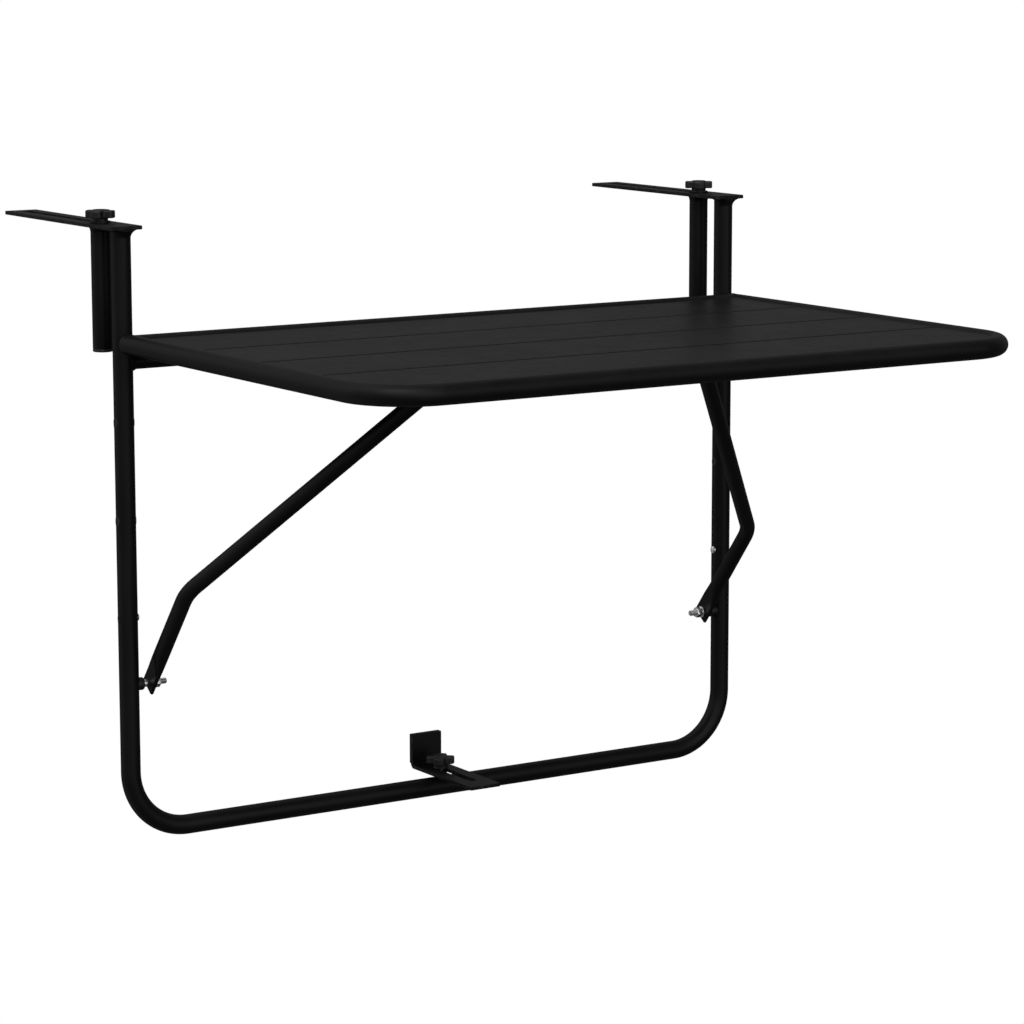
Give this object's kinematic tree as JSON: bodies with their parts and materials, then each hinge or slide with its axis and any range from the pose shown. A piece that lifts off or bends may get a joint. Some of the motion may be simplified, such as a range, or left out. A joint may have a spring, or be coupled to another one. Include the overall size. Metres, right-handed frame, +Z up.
{
  "type": "balcony railing table",
  "caption": "Folding table that hangs on a railing: slatted steel top in a tube rim, swinging bent-tube support, adjustable railing clamps and a lower railing stop.",
  "frame": {"origin": "middle of the railing seat: halfway between the legs, level with the underside of the hook plates, in line with the rear faces of the legs", "axes": "+X along the railing to the right, +Y from the table towards the railing, +Z up"},
  "size_m": [0.6126, 0.5945, 0.5082],
  "materials": {
    "powder_coat": "satin black powder coat, fine texture",
    "black_plastic": "matte moulded black plastic",
    "zinc": "bright zinc plating",
    "rubber": "matte black rubber"
  },
  "bodies": {
    "frame": {"main_frame_tube": "powder_coat", "hinge_cross_tube": "powder_coat", "hook_plate_left": "powder_coat", "hook_plate_right": "powder_coat", "hook_plate_welds": "powder_coat", "pivot_studs": "zinc", "pivot_spacers": "black_plastic", "pivot_washers": "zinc", "pivot_nuts": "zinc", "leg_hole_plugs": "black_plastic", "leg_rivets": "zinc", "stop_insert": "powder_coat"},
    "table": {"table_rim_tube": "powder_coat", "table_rear_tube": "powder_coat", "table_slat_1": "powder_coat", "table_slat_2": "powder_coat", "table_slat_3": "powder_coat", "table_slat_4": "powder_coat", "slat_rail_left": "powder_coat", "slat_rail_right": "powder_coat", "hinge_eye_left": "powder_coat", "hinge_eye_right": "powder_coat", "support_saddle_left": "powder_coat", "support_saddle_right": "powder_coat", "table_tube_plugs": "black_plastic"},
    "support": {"support_tube": "powder_coat"},
    "clamp_left": {"clamp_post_left": "powder_coat", "clamp_post_insert_left": "zinc", "clamp_post_cap_left": "black_plastic"},
    "clamp_right": {"clamp_post_right": "powder_coat", "clamp_post_insert_right": "zinc", "clamp_post_cap_right": "black_plastic"},
    "clamp_screw_left": {"clamp_knob_left": "black_plastic", "clamp_bolt_left": "zinc", "clamp_washer_left": "black_plastic"},
    "clamp_screw_right": {"clamp_knob_right": "black_plastic", "clamp_bolt_right": "zinc", "clamp_washer_right": "black_plastic"},
    "stop": {"stop_bracket": "powder_coat", "stop_pad": "rubber"},
    "stop_screw": {"stop_knob": "black_plastic", "stop_bolt": "zinc", "stop_washer": "black_plastic"}
  },
  "joints": [
    {"name": "table_fold", "type": "hinge", "parent": "frame", "child": "table", "pos_m": [0, -0.008, -0.1047], "axis": [1, 0, 0], "range_deg": [0, 78]},
    {"name": "support_swing", "type": "hinge", "parent": "frame", "child": "support", "pos_m": [0, -0.008, -0.3655], "axis": [1, 0, 0], "range_deg": [0, 132.6]},
    {"name": "clamp_slide_left", "type": "slide", "parent": "frame", "child": "clamp_left", "axis": [0, 1, 0], "range_m": [-0.0065, 0.132]},
    {"name": "clamp_slide_right", "type": "slide", "parent": "frame", "child": "clamp_right", "axis": [0, 1, 0], "range_m": [-0.008, 0.13]},
    {"name": "clamp_screw_left_turn", "type": "hinge", "parent": "clamp_left", "child": "clamp_screw_left", "pos_m": [-0.292, 0.0273, 0], "axis": [0, 0, 1], "continuous": true},
    {"name": "clamp_screw_right_turn", "type": "hinge", "parent": "clamp_right", "child": "clamp_screw_right", "pos_m": [0.292, 0.0289, 0], "axis": [0, 0, 1], "continuous": true},
    {"name": "stop_slide", "type": "slide", "parent": "frame", "child": "stop", "axis": [0, 1, 0], "range_m": [-0.0095, 0.05]},
    {"name": "stop_screw_turn", "type": "hinge", "parent": "frame", "child": "stop_screw", "pos_m": [0, -0.008, -0.475], "axis": [0, 0, 1], "continuous": true}
  ],
  "couplings": [
    {"joint": "support_swing", "follows": "table_fold", "ratio": 1.7}
  ]
}
